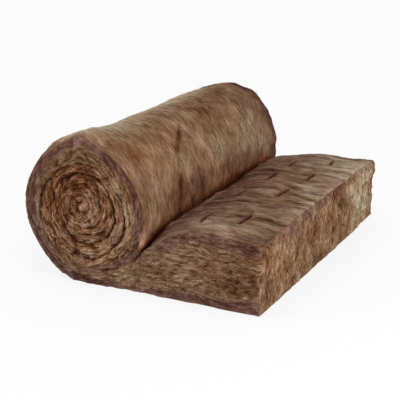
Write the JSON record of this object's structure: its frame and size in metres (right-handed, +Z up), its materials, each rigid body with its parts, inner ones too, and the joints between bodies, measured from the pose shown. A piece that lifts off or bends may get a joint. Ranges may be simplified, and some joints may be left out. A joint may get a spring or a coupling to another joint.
{
  "type": "insulation roll",
  "caption": "Roll of brown mineral wool insulation mat, wound up from one end, with the other end unrolled and lying flat at full loft.",
  "frame": {"origin": "on the floor, under the middle of the mat's bounding box", "axes": "+Y along the roll's axis from the front end to the back end, +X from the roll towards the free end, +Z up"},
  "size_m": [0.9308, 1.2, 0.5344],
  "materials": {
    "wool": "matte brown mineral wool fibre"
  },
  "bodies": {
    "root": {"wool_mat": "wool"}
  },
  "joints": []
}
